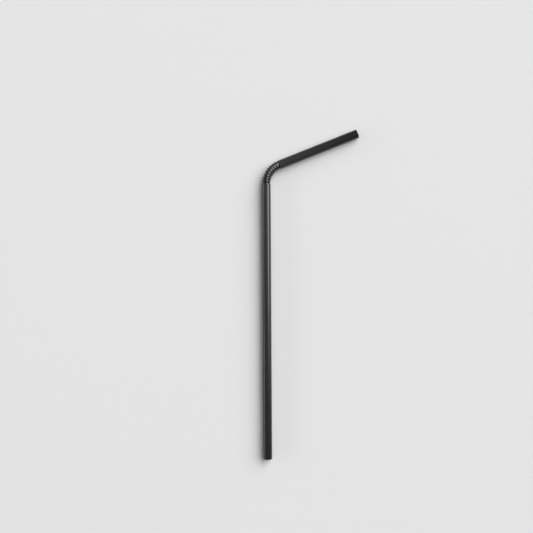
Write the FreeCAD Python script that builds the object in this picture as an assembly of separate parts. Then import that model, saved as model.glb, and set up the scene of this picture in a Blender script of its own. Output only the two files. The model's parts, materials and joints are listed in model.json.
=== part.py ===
import FreeCAD, Part
import math
import os

# A flexible drinking straw of thin extruded tube, lying on its side with its mouthpiece bent over.
# It is one piece: a long leg, a pleated stretch that was pressed into the same tube, and a mouthpiece.
# +Z is up, the long leg runs along Y and the mouthpiece points towards +X and +Y. Lengths are in mm.

# The tube
outer_diameter = 5.0
wall = 0.18
long_leg = 153.7
mouthpiece = 47.0

# The pleats, with the straw bent: open on the outside of the bend, nearly shut on its inside
pleat_count = 9
pleat_pitch = 1.54
pleat_depth = 0.45
# The valleys sit this much off the tube's axis, so that a pleat is deepest on the inside of the bend
valley_shift = 0.1
# Share of a pitch from a crest to the valley that follows it, on the side of the mouthpiece
valley_place = 0.62
# 0 rounds the crests and valleys to a plain wave, and towards 1 they become sharp folds
fold_sharpness = 0.96
# Bands of surface from a crest to a valley
flank_bands = 3

# Turn from the long leg to the mouthpiece, in degrees
bend_angle = 68.6

# Sizes that follow from the ones above
outer_radius = outer_diameter / 2
pleated_length = pleat_count * pleat_pitch
bend_radius = pleated_length / math.radians(bend_angle)
pleat_angle = bend_angle / pleat_count

UP = FreeCAD.Vector(0, 0, 1)
ALONG_LEG = FreeCAD.Vector(0, 1, 0)
BEND_CENTRE = FreeCAD.Vector(bend_radius, 0, 0)


def flank_drop(share):
    """Depth at a share of the way down a flank, from 0 at the crest to 1 in the valley."""
    level = math.asin(fold_sharpness * math.cos(math.pi * share)) / math.asin(fold_sharpness)
    return (1 - level) / 2


def cross_section(turned, depth, inset):
    """A circle in the radial plane of the bend at an angle in degrees, set in from the tube's surface."""
    centre = FreeCAD.Vector(-valley_shift * depth, 0, 0)
    radius = outer_radius - pleat_depth * depth - inset
    circle = Part.Circle(centre, ALONG_LEG, radius).toShape()
    circle.rotate(BEND_CENTRE, UP, -turned)
    return Part.Wire(circle)


def straight_run(turned, length, inset):
    """A round bar on the tube's axis from one end of the bend, outwards if length is positive."""
    end_face = Part.Face(cross_section(turned, 0, inset))
    heading = FreeCAD.Rotation(UP, -turned).multVec(ALONG_LEG)
    return end_face.extrude(heading * length)


def pleat_run(inset):
    """The first pleat from crest to crest, through circles that shrink to its valley and grow again."""
    # Shares of a flank, closest together at its two folds
    shares = [(1 - math.cos(math.pi * step / flank_bands)) / 2 for step in range(flank_bands + 1)]
    down = [(valley_place * share, share) for share in shares]
    up = [(1 - (1 - valley_place) * share, share) for share in reversed(shares[:-1])]
    sections = [cross_section(pleat_angle * place, flank_drop(share), inset) for place, share in down + up]
    return Part.makeLoft(sections, True, True)


def hollow(run, *sizes):
    """A run of the tube: the bar of its outer surface less the bar that fills its bore."""
    return run(*sizes, 0).cut(run(*sizes, wall))


def pleats():
    """The pleats round the bend, each turned on from the one before it."""
    first = hollow(pleat_run)
    copies = [first.copy() for _ in range(pleat_count)]
    for number, copy in enumerate(copies):
        copy.rotate(BEND_CENTRE, UP, -number * pleat_angle)
    return copies


def straw():
    """The whole tube as one solid, set down on its side with its middle over the origin."""
    leg = hollow(straight_run, 0, -long_leg)
    mouth = hollow(straight_run, bend_angle, mouthpiece)
    tube = leg.fuse(pleats() + [mouth])
    box = tube.optimalBoundingBox(False, False)
    tube.translate(FreeCAD.Vector(-box.Center.x, -box.Center.y, -box.ZMin))
    return tube.Solids[0]


os.makedirs("parts", exist_ok=True)
straw().exportStep("parts/straw.step")
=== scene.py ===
"""A flexible drinking straw of black polypropylene, bent over at its pleats and lying on its side.

The straw is one piece of thin extruded tube. The skin of its outside and the skin of its bore are
modelled in the same way: a ring is drawn out into one pleat, the pleat is repeated round the bend,
and the rings at both ends are drawn out into the long leg and the mouthpiece. The two skins are then
closed into one wall at the cut ends. Lengths are in metres unless a name says otherwise.
"""

import json
import logging
import math
from contextlib import contextmanager
from dataclasses import dataclass
from enum import Enum
from typing import Any, Callable, Iterator, Optional

import bmesh
import bpy
from mathutils import Matrix, Vector


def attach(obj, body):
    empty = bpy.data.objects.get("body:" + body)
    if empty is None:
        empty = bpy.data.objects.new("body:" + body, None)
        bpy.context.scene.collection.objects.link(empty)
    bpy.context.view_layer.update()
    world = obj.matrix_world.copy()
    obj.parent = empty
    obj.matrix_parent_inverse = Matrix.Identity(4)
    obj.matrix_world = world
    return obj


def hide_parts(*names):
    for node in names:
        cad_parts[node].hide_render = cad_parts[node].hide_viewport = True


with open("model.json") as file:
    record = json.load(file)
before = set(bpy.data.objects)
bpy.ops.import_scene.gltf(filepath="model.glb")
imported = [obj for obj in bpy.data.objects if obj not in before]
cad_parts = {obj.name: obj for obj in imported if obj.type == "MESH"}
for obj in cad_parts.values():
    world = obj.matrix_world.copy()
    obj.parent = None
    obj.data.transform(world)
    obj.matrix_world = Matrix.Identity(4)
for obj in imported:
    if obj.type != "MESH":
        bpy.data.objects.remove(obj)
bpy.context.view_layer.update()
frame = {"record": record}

log = logging.getLogger("straw")

MM = 0.001
UP = Vector((0, 0, 1))
# Vertices nearer than this are one vertex
SAME_PLACE = 0.0005 * MM
# The point of the tube's axis plane that lies in the middle of the picture
PICTURE_MIDDLE = Vector((-24.857, 15.67, 2.5)) * MM

# Attributes of the straw's vertices: the place on the unbent tube, and how far it is rubbed
UNBENT_PLACE = "unbent_place"
RUBBED = "rubbed"

# Sockets of a Mix node that take and give colours. They share their names with those for numbers.
FIRST_COLOUR, SECOND_COLOUR, MIXED_COLOUR = 6, 7, 2
# Nearly all of a noise texture lies between these levels
NOISE_LOW, NOISE_HIGH = 0.3, 0.7


def linear(hex_colour: str) -> tuple[float, float, float, float]:
    """Turns an sRGB colour into the linear one that a shader takes.

    Args:
        hex_colour: The colour as six hexadecimal digits, such as 1b1b1d.

    Returns:
        Red, green, blue and an alpha of 1.
    """
    shares = [int(hex_colour[place : place + 2], 16) / 255 for place in (0, 2, 4)]
    red, green, blue = [
        share / 12.92 if share <= 0.04045 else ((share + 0.055) / 1.055) ** 2.4 for share in shares
    ]
    return red, green, blue, 1.0


def add_node(
    tree: bpy.types.NodeTree,
    kind: str,
    settings: Optional[dict[str, Any]] = None,
    links: Optional[dict[str, bpy.types.NodeSocket]] = None,
) -> bpy.types.Node:
    """Adds a node to a material or world.

    Args:
        tree: The node tree that gets it.
        kind: The node's type name.
        settings: Values by name, of the node's own properties or else of its input sockets.
        links: The socket that feeds each named input.

    Returns:
        The new node.
    """
    node = tree.nodes.new(kind)
    for name, value in (settings or {}).items():
        if hasattr(node, name):
            setattr(node, name, value)
        else:
            node.inputs[name].default_value = value
    for name, source in (links or {}).items():
        tree.links.new(source, node.inputs[name])
    return node


def new_material(name: str) -> bpy.types.Material:
    """A material with an empty node tree."""
    material = bpy.data.materials.new(name)
    material.use_nodes = True
    material.node_tree.nodes.clear()
    return material


@contextmanager
def editing(piece: bpy.types.Object) -> Iterator[None]:
    """Edit mode on one object, with vertices as what is picked.

    Args:
        piece: The mesh object to edit.
    """
    bpy.ops.object.select_all(action="DESELECT")
    piece.select_set(True)
    bpy.context.view_layer.objects.active = piece
    bpy.ops.object.mode_set(mode="EDIT")
    bpy.ops.mesh.select_mode(type="VERT")
    yield
    bpy.ops.object.mode_set(mode="OBJECT")


def pick(piece: bpy.types.Object, wanted: Callable[[Vector], bool]) -> None:
    """Selects vertices of the object in edit mode by their place, with the edges and faces between them.

    Args:
        piece: The object in edit mode.
        wanted: Says of a vertex's place whether it is selected.
    """
    bpy.ops.mesh.select_all(action="DESELECT")
    mesh = bmesh.from_edit_mesh(piece.data)
    for vertex in mesh.verts:
        vertex.select_set(wanted(vertex.co))
    mesh.select_flush(True)
    bmesh.update_edit_mesh(piece.data)


def order_faces(piece: bpy.types.Object) -> None:
    """Lists the faces by their vertices, because the operators list them differently in each run.

    Args:
        piece: The mesh object, in object mode.
    """
    mesh = bmesh.new()
    mesh.from_mesh(piece.data)
    mesh.verts.index_update()
    count = len(mesh.verts)

    def rank(face: bmesh.types.BMFace) -> float:
        """A number that only this face has, from its three lowest-numbered vertices."""
        first, second, third = sorted(vertex.index for vertex in face.verts)[:3]
        return float((first * count + second) * count + third)

    mesh.faces.sort(key=rank)
    mesh.to_mesh(piece.data)
    mesh.free()


class Side(Enum):
    """The two skins of the tube's wall."""

    OUTSIDE = "outside"
    BORE = "bore"


@dataclass(frozen=True)
class Pleats:
    """The folds pressed into the tube, open on the outside of the bend and nearly shut on its inside.

    Attributes:
        count: How many valleys there are.
        depth: From the tube's surface to the bottom of a valley.
        valley_shift: How far a valley's centre lies from the tube's axis, away from the bend's centre.
        valley_place: Share of a pitch from a crest to the valley after it, towards the mouthpiece.
        fold_sharpness: 0 is a plain wave, and towards 1 crests and valleys become sharp folds.
        flank_steps: Rings of mesh from a crest to a valley.
    """

    count: int = 9
    depth: float = 0.45 * MM
    valley_shift: float = 0.1 * MM
    valley_place: float = 0.62
    fold_sharpness: float = 0.96
    flank_steps: int = 12

    def drop(self, share: float) -> float:
        """Depth at a share of the way down a flank, from 0 at the crest to 1 in the valley."""
        level = math.asin(self.fold_sharpness * math.cos(math.pi * share)) / math.asin(self.fold_sharpness)
        return (1 - level) / 2

    def rings(self) -> list[tuple[float, float]]:
        """The rings of one pleat from crest to crest.

        Returns:
            For each ring, its place as a share of the pitch and its depth as a share of a valley's.
        """
        steps = self.flank_steps
        shares = [(1 - math.cos(math.pi * step / steps)) / 2 for step in range(steps + 1)]
        down = [(self.valley_place * share, self.drop(share)) for share in shares]
        up = [(1 - (1 - self.valley_place) * share, self.drop(share)) for share in reversed(shares[:-1])]
        return down + up


@dataclass(frozen=True)
class ExtrudedPolypropylene:
    """Black polypropylene as it leaves a tube die: glossy, with faint lines drawn along the tube.

    The die and the sizing sleeve leave lines that run the whole length, so the gloss is streaked
    along the tube and never across it. The crests of the pleats are rubbed a little greyer.

    Attributes:
        colour: The black of the plastic where it is deepest.
        worn_colour: The black where handling has dulled it a little.
        rubbed_colour: The grey of a rubbed crest.
        smooth: Roughness between the die lines.
        rough: Roughness on the die lines.
        ior: Index of refraction of polypropylene.
        line_spacing: From one die line to the next. Real ones are about 0.1 mm apart, too fine to
            show, so they are drawn coarser.
        line_length: How far a die line keeps its strength.
        line_height: How high the lines stand.
        handled_patch: Size of the patches that handling has dulled.
        rubbed_reach: Share of a pleat's depth, from its crest down, that is rubbed.
    """

    colour: str = "0e0e10"
    worn_colour: str = "161618"
    rubbed_colour: str = "2e2e31"
    smooth: float = 0.12
    rough: float = 0.24
    ior: float = 1.49
    line_spacing: float = 0.5 * MM
    line_length: float = 60 * MM
    line_height: float = 0.006 * MM
    handled_patch: float = 9 * MM
    rubbed_reach: float = 0.3

    def material(self) -> bpy.types.Material:
        """The plastic, with a pattern that follows the tube round its bend."""
        material = new_material("extruded_polypropylene")
        tree = material.node_tree
        place = add_node(tree, "ShaderNodeAttribute", {"attribute_name": UNBENT_PLACE})
        rubbing = add_node(tree, "ShaderNodeAttribute", {"attribute_name": RUBBED})
        stretch = (1 / self.line_spacing, 1 / self.line_length, 1 / self.line_spacing)
        along = add_node(tree, "ShaderNodeMapping", {"Scale": stretch}, {"Vector": place.outputs["Vector"]})
        lines = add_node(
            tree, "ShaderNodeTexNoise", {"Scale": 1.0, "Detail": 3.0}, {"Vector": along.outputs["Vector"]}
        )
        handling = add_node(
            tree,
            "ShaderNodeTexNoise",
            {"Scale": 1 / self.handled_patch, "Detail": 2.0},
            {"Vector": place.outputs["Vector"]},
        )
        gloss = add_node(
            tree,
            "ShaderNodeMapRange",
            {"From Min": NOISE_LOW, "From Max": NOISE_HIGH, "To Min": self.smooth, "To Max": self.rough},
            {"Value": lines.outputs["Fac"]},
        )
        tone = add_node(
            tree, "ShaderNodeMix", {"data_type": "RGBA"}, {"Factor": handling.outputs["Fac"]}
        )
        tone.inputs[FIRST_COLOUR].default_value = linear(self.colour)
        tone.inputs[SECOND_COLOUR].default_value = linear(self.worn_colour)
        crests = add_node(
            tree, "ShaderNodeMix", {"data_type": "RGBA"}, {"Factor": rubbing.outputs["Fac"]}
        )
        tree.links.new(tone.outputs[MIXED_COLOUR], crests.inputs[FIRST_COLOUR])
        crests.inputs[SECOND_COLOUR].default_value = linear(self.rubbed_colour)
        relief = add_node(
            tree,
            "ShaderNodeBump",
            {"Strength": 1.0, "Distance": self.line_height},
            {"Height": lines.outputs["Fac"]},
        )
        plastic = add_node(
            tree,
            "ShaderNodeBsdfPrincipled",
            {"IOR": self.ior},
            {
                "Base Color": crests.outputs[MIXED_COLOUR],
                "Roughness": gloss.outputs["Result"],
                "Normal": relief.outputs["Normal"],
            },
        )
        add_node(tree, "ShaderNodeOutputMaterial", links={"Surface": plastic.outputs["BSDF"]})
        return material


@dataclass
class Straw:
    """The whole straw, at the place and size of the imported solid.

    Attributes:
        leg_end: Middle of the long leg's open end.
        leg_heading: From that end towards the pleats.
        leg_length: Length of the long leg's plain tube.
        mouth_tip: Middle of the mouthpiece's open end.
        mouth_heading: From the pleats towards that end.
        mouth_length: Length of the mouthpiece's plain tube.
        outer_radius: Radius of the tube.
        bore_radius: Radius of its bore.
        pleats: The folds between leg and mouthpiece.
        finish: What the tube is made of.
        sides: Faces round the tube.
        rim_easing: How far the cut edges of both ends are rounded.
        end_band: Length of the narrow band of faces at each end of a straight run. It keeps the
            rounding of the fold or rim there from showing all along the tube.
        crease: Faces that meet at more than this angle meet in a sharp edge.
    """

    leg_end: Vector
    leg_heading: Vector
    leg_length: float
    mouth_tip: Vector
    mouth_heading: Vector
    mouth_length: float
    outer_radius: float
    bore_radius: float
    pleats: Pleats = Pleats()
    finish: ExtrudedPolypropylene = ExtrudedPolypropylene()
    sides: int = 96
    rim_easing: float = 0.04 * MM
    end_band: float = 0.2 * MM
    crease: float = math.radians(40)

    NODE = "straw"

    @classmethod
    def from_record(cls, record: dict[str, Any]) -> "Straw":
        """Reads the straw's sizes and places off its mounts.

        Args:
            record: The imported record.

        Returns:
            A straw that isn't modelled yet.
        """
        mounts = {mount["name"]: mount for mount in record["mounts"]}
        leg, mouth = mounts["leg_barrel"], mounts["mouth_barrel"]
        return cls(
            leg_end=Vector(leg["pos_m"]),
            leg_heading=-Vector(leg["axis"]).normalized(),
            leg_length=leg["dims"]["length_mm"] * MM,
            mouth_tip=Vector(mouth["pos_m"]),
            mouth_heading=Vector(mouth["axis"]).normalized(),
            mouth_length=mouth["dims"]["length_mm"] * MM,
            outer_radius=leg["dims"]["r_mm"] * MM,
            bore_radius=mounts["leg_bore"]["dims"]["r_mm"] * MM,
        )

    @property
    def bend_start(self) -> Vector:
        """Where the long leg meets the first crest, on the tube's axis."""
        return self.leg_end + self.leg_heading * self.leg_length

    @property
    def bend_end(self) -> Vector:
        """Where the last crest meets the mouthpiece, on the tube's axis."""
        return self.mouth_tip - self.mouth_heading * self.mouth_length

    @property
    def bend_angle(self) -> float:
        """Turn from the long leg to the mouthpiece."""
        return self.leg_heading.angle(self.mouth_heading)

    @property
    def bend_radius(self) -> float:
        """Radius of the tube's axis round the bend."""
        chord = (self.bend_end - self.bend_start).length
        return chord / 2 / math.sin(self.bend_angle / 2)

    @property
    def bend_centre(self) -> Vector:
        """The point that the tube's axis bends round."""
        return self.bend_start + self.leg_heading.cross(UP) * self.bend_radius

    def outwards(self, turned: float) -> Vector:
        """Direction from the bend's centre to the tube's axis, at an angle round the bend."""
        return Matrix.Rotation(-turned, 3, UP) @ -self.leg_heading.cross(UP)

    def draw_pleat(self, radius: float) -> None:
        """Draws the ring in edit mode out into the first pleat, ring by ring.

        Args:
            radius: Radius of the ring, which lies at the start of the bend.
        """
        pitch_angle = self.bend_angle / self.pleats.count
        rings = self.pleats.rings()
        for (place, depth), (next_place, next_depth) in zip(rings, rings[1:]):
            step = (next_place - place) * pitch_angle
            turned = next_place * pitch_angle
            centre = self.bend_centre + self.outwards(turned) * (
                self.bend_radius + self.pleats.valley_shift * depth
            )
            size_now = radius - self.pleats.depth * depth
            size_next = radius - self.pleats.depth * next_depth
            shift = self.outwards(turned) * self.pleats.valley_shift * (next_depth - depth)
            bpy.ops.mesh.extrude_region_move()
            # Here rotate and spin both turn clockwise, seen from above, by a positive angle
            bpy.ops.transform.rotate(value=step, orient_axis="Z", center_override=self.bend_centre)
            bpy.ops.transform.resize(value=(size_next / size_now,) * 3, center_override=centre)
            bpy.ops.transform.translate(value=shift)

    def on_ring(self, middle: Vector, heading: Vector, beyond: float = 0.0) -> Callable[[Vector], bool]:
        """A test of whether a place is on the tube where a plane cuts it square.

        Args:
            middle: Middle of the tube in that plane.
            heading: Direction of the tube there.
            beyond: How far from the middle a place must be.

        Returns:
            A function that takes a place and says whether it is there.
        """

        def test(place: Vector) -> bool:
            """Whether the place is in the plane and near enough to be part of the tube."""
            offset = place - middle
            return abs(offset.dot(heading)) < SAME_PLACE and beyond < offset.length < 2 * self.outer_radius

        return test

    def draw_run(self, piece: bpy.types.Object, start: Vector, heading: Vector, length: float) -> None:
        """Draws the ring at one end of the bend out into a straight run.

        Args:
            piece: The skin, in edit mode.
            start: Middle of the ring.
            heading: The way that the run goes.
            length: How long it is.
        """
        pick(piece, self.on_ring(start, heading))
        for part in (self.end_band, length - 2 * self.end_band, self.end_band):
            bpy.ops.mesh.extrude_region_move(TRANSFORM_OT_translate={"value": heading * part})

    def skin(self, side: Side) -> bpy.types.Object:
        """Models one skin of the wall from end to end.

        Args:
            side: Which of the two skins.

        Returns:
            An open tube of faces, one thick.
        """
        radius = self.outer_radius if side is Side.OUTSIDE else self.bore_radius
        bpy.ops.object.select_all(action="DESELECT")
        bpy.ops.mesh.primitive_circle_add(
            vertices=self.sides, radius=radius, location=self.bend_start, rotation=(math.pi / 2, 0, 0)
        )
        piece = bpy.context.active_object
        piece.name = f"{self.NODE}_{side.value}"
        bpy.ops.object.transform_apply(location=True, rotation=True, scale=True)
        with editing(piece):
            bpy.ops.mesh.select_all(action="SELECT")
            self.draw_pleat(radius)
            bpy.ops.mesh.select_all(action="SELECT")
            copies = self.pleats.count - 1
            bpy.ops.mesh.spin(
                steps=copies,
                dupli=True,
                angle=self.bend_angle * copies / self.pleats.count,
                center=self.bend_centre,
                axis=UP,
            )
            bpy.ops.mesh.select_all(action="SELECT")
            bpy.ops.mesh.remove_doubles(threshold=SAME_PLACE)
            self.draw_run(piece, self.bend_start, -self.leg_heading, self.leg_length)
            self.draw_run(piece, self.bend_end, self.mouth_heading, self.mouth_length)
        return piece

    def close_rims(self, piece: bpy.types.Object) -> None:
        """Joins the two skins by the narrow ring of each cut end, and rounds its edges.

        Args:
            piece: Both skins as one object.
        """
        middle_of_wall = (self.outer_radius + self.bore_radius) / 2
        inwards = self.bore_radius / self.outer_radius
        ends = ((self.leg_end, self.leg_heading), (self.mouth_tip, self.mouth_heading))
        with editing(piece):
            for end, heading in ends:
                pick(piece, self.on_ring(end, heading, beyond=middle_of_wall))
                bpy.ops.mesh.extrude_region_move()
                bpy.ops.transform.resize(value=(inwards,) * 3, center_override=end)
            bpy.ops.mesh.select_all(action="SELECT")
            bpy.ops.mesh.remove_doubles(threshold=SAME_PLACE)
            bpy.ops.mesh.normals_make_consistent(inside=False)
            for end, heading in ends:
                pick(piece, self.on_ring(end, heading))
                bpy.ops.mesh.region_to_loop()
                bpy.ops.mesh.bevel(offset=self.rim_easing, segments=2, affect="EDGES")

    def unbent_place(self, place: Vector) -> Vector:
        """Where a point would lie if the straw were straight, with its axis along Y."""
        offset = place - self.bend_centre
        turned = math.atan2(offset.dot(self.leg_heading), -offset.dot(self.leg_heading.cross(UP)))
        turned = min(max(turned, 0.0), self.bend_angle)
        outwards = self.outwards(turned)
        heading = outwards.cross(-UP)
        axis_point = self.bend_centre + outwards * self.bend_radius
        from_axis = place - axis_point
        station = self.leg_length + self.bend_radius * turned + from_axis.dot(heading)
        return Vector((from_axis.dot(outwards), station, from_axis.dot(UP)))

    def rubbing(self, unbent: Vector) -> float:
        """How far a point is rubbed: 1 on top of a crest, and 0 well below one and on plain tube."""
        station = unbent.y - self.leg_length
        if not 0 < station < self.bend_radius * self.bend_angle:
            return 0.0
        below = self.outer_radius - math.hypot(unbent.x, unbent.z)
        return max(1 - below / (self.finish.rubbed_reach * self.pleats.depth), 0.0)

    def mark_skin(self, piece: bpy.types.Object) -> None:
        """Gives each vertex its unbent place and its rubbing, which the finish's pattern follows."""
        mesh = piece.data
        mesh.attributes.new(UNBENT_PLACE, "FLOAT_VECTOR", "POINT")
        mesh.attributes.new(RUBBED, "FLOAT", "POINT")
        # Looked up afresh, because a new attribute can move the ones before it
        places = mesh.attributes[UNBENT_PLACE].data
        marks = mesh.attributes[RUBBED].data
        for vertex, place, mark in zip(mesh.vertices, places, marks):
            place.vector = self.unbent_place(vertex.co)
            mark.value = self.rubbing(place.vector)

    def build(self) -> bpy.types.Object:
        """Models the straw, dresses it and puts it on its body.

        Returns:
            The finished piece.
        """
        skins = [self.skin(side) for side in Side]
        bpy.ops.object.select_all(action="DESELECT")
        for skin in skins:
            skin.select_set(True)
        piece = skins[0]
        bpy.context.view_layer.objects.active = piece
        bpy.ops.object.join()
        piece.name = "bent_straw"
        bpy.ops.object.origin_set(type="ORIGIN_CURSOR")
        self.close_rims(piece)
        order_faces(piece)
        bpy.ops.object.shade_smooth_by_angle(angle=self.crease)
        self.mark_skin(piece)
        piece.data.materials.clear()
        piece.data.materials.append(self.finish.material())
        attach(piece, "root")
        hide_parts(self.NODE)
        return piece


class Face(Enum):
    """Outlines of a lamp's face, by Blender's names."""

    OBLONG = "RECTANGLE"
    OVAL = "ELLIPSE"


@dataclass(frozen=True)
class Softbox:
    """A lamp with a flat, evenly lit face.

    Attributes:
        name: What the lamp is called.
        place: Middle of its face.
        aim: The point that it faces.
        width: Size of the face from side to side.
        height: Size of the face the other way.
        watts: Power of the lamp.
        face: Outline of its face.
    """

    name: str
    place: Vector
    aim: Vector
    width: float
    height: float
    watts: float
    face: Face = Face.OBLONG

    def add(self) -> bpy.types.Object:
        """Sets the lamp up with its width level."""
        lamp = bpy.data.lights.new(self.name, "AREA")
        lamp.shape = self.face.value
        lamp.size = self.width
        lamp.size_y = self.height
        lamp.energy = self.watts
        stand = bpy.data.objects.new(self.name, lamp)
        bpy.context.scene.collection.objects.link(stand)
        stand.location = self.place
        stand.rotation_euler = (self.place - self.aim).to_track_quat("Z", "Y").to_euler()
        return stand


@dataclass(frozen=True)
class MattBoard:
    """Pale matt board: hardly any shine, with a faint tooth that keeps it from looking like a void.

    Attributes:
        colour: The board's off-white.
        roughness: How widely it scatters what little it reflects.
        shine: Level of that reflection, where 0.5 is a usual plastic.
        tooth: Size of its grain.
        tooth_height: How high the grain stands.
    """

    colour: str = "d6d6d6"
    roughness: float = 0.95
    shine: float = 0.1
    tooth: float = 0.4 * MM
    tooth_height: float = 0.01 * MM

    def material(self) -> bpy.types.Material:
        """The board's material."""
        material = new_material("matt_board")
        tree = material.node_tree
        place = add_node(tree, "ShaderNodeTexCoord")
        grain = add_node(
            tree,
            "ShaderNodeTexNoise",
            {"Scale": 1 / self.tooth, "Detail": 2.0},
            {"Vector": place.outputs["Object"]},
        )
        relief = add_node(
            tree,
            "ShaderNodeBump",
            {"Strength": 0.5, "Distance": self.tooth_height},
            {"Height": grain.outputs["Fac"]},
        )
        board = add_node(
            tree,
            "ShaderNodeBsdfPrincipled",
            {
                "Base Color": linear(self.colour),
                "Roughness": self.roughness,
                "Specular IOR Level": self.shine,
            },
            {"Normal": relief.outputs["Normal"]},
        )
        add_node(tree, "ShaderNodeOutputMaterial", links={"Surface": board.outputs["BSDF"]})
        return material


@dataclass(frozen=True)
class Camera:
    """The camera, straight above the floor.

    Attributes:
        middle: The point in the middle of the picture, at the height of the tube's axis.
        height: From that point to the camera.
        view_width: What the picture's width takes in at that height.
        roll_degrees: Turn of the camera about its own line of sight.
        nearest: Nothing nearer to the camera than this is shown.
    """

    middle: Vector
    height: float = 0.45
    view_width: float = 298.2 * MM
    roll_degrees: float = -0.31
    nearest: float = 10 * MM

    def add(self) -> bpy.types.Object:
        """Sets the camera up as the scene's own."""
        data = bpy.data.cameras.new("camera")
        data.lens = data.sensor_width * self.height / self.view_width
        data.clip_start = self.nearest
        camera = bpy.data.objects.new("camera", data)
        bpy.context.scene.collection.objects.link(camera)
        camera.location = self.middle + UP * self.height
        camera.rotation_euler = (0, 0, math.radians(self.roll_degrees))
        bpy.context.scene.camera = camera
        return camera


@dataclass(frozen=True)
class Studio:
    """Floor, soft light and camera.

    Attributes:
        middle: The point in the middle of the picture, on the straw's axis plane. The lamps stand
            round it and face it.
        floor_size: Side of the square floor.
        sky: Strength of the even light from above.
        backdrop: Strength of the low pale band all round, which meets the floor's far edge.
        backdrop_top: Height of that band as the sine of its angle above the horizon. Above it the
            band fades into the sky over the same height again.
    """

    middle: Vector
    floor_size: float = 5.0
    sky: float = 0.1
    backdrop: float = 0.8
    backdrop_top: float = 0.06

    def add_floor(self) -> None:
        """Lays the board that the straw lies on."""
        bpy.ops.object.select_all(action="DESELECT")
        bpy.ops.mesh.primitive_plane_add(size=self.floor_size, location=(0, 0, 0))
        floor = bpy.context.active_object
        floor.name = "floor"
        floor.data.materials.append(MattBoard().material())

    def add_sky(self) -> None:
        """Sets up the dim even sky and the pale backdrop under it."""
        world = bpy.data.worlds.new("sky")
        bpy.context.scene.world = world
        world.use_nodes = True
        tree = world.node_tree
        tree.nodes.clear()
        heading = add_node(tree, "ShaderNodeTexCoord")
        parts = add_node(tree, "ShaderNodeSeparateXYZ", links={"Vector": heading.outputs["Generated"]})
        reach = {"From Min": self.backdrop_top, "From Max": 2 * self.backdrop_top}
        level = add_node(
            tree,
            "ShaderNodeMapRange",
            {**reach, "To Min": self.backdrop, "To Max": self.sky},
            {"Value": parts.outputs["Z"]},
        )
        light = add_node(
            tree, "ShaderNodeBackground", {"Color": (1, 1, 1, 1)}, {"Strength": level.outputs["Result"]}
        )
        add_node(tree, "ShaderNodeOutputWorld", links={"Surface": light.outputs["Background"]})

    def lamps(self) -> list[Softbox]:
        """The lamps and where they stand.

        Returns:
            An even light overhead, the bright one on the mouthpiece's side, and a long low one
            across from it that draws the line along the straw's other side.
        """
        middle = self.middle
        return [
            Softbox("overhead", place=middle + UP * 1.6, aim=middle, width=3.6, height=3.6, watts=10.0),
            Softbox(
                "key",
                place=middle + Vector((7.56, 5.92, 7.24)),
                aim=middle,
                width=17.6,
                height=12.4,
                watts=2750.0,
                face=Face.OVAL,
            ),
            Softbox(
                "fill",
                place=middle + Vector((-3.57, 0.3, 1.02)),
                aim=middle,
                width=4.8,
                height=0.66,
                watts=45.0,
            ),
        ]

    def build(self) -> None:
        """Sets up everything that isn't the straw."""
        self.add_floor()
        self.add_sky()
        for lamp in self.lamps():
            lamp.add()
        Camera(self.middle).add()
        bpy.context.scene.view_settings.view_transform = "Standard"


def main() -> None:
    """Builds the straw and the studio round it."""
    logging.basicConfig(level=logging.INFO, format="%(name)s: %(message)s")
    straw = Straw.from_record(frame["record"])
    piece = straw.build()
    log.info("%s: %d faces", piece.name, len(piece.data.polygons))
    Studio(PICTURE_MIDDLE).build()


if __name__ == "__main__":
    main()
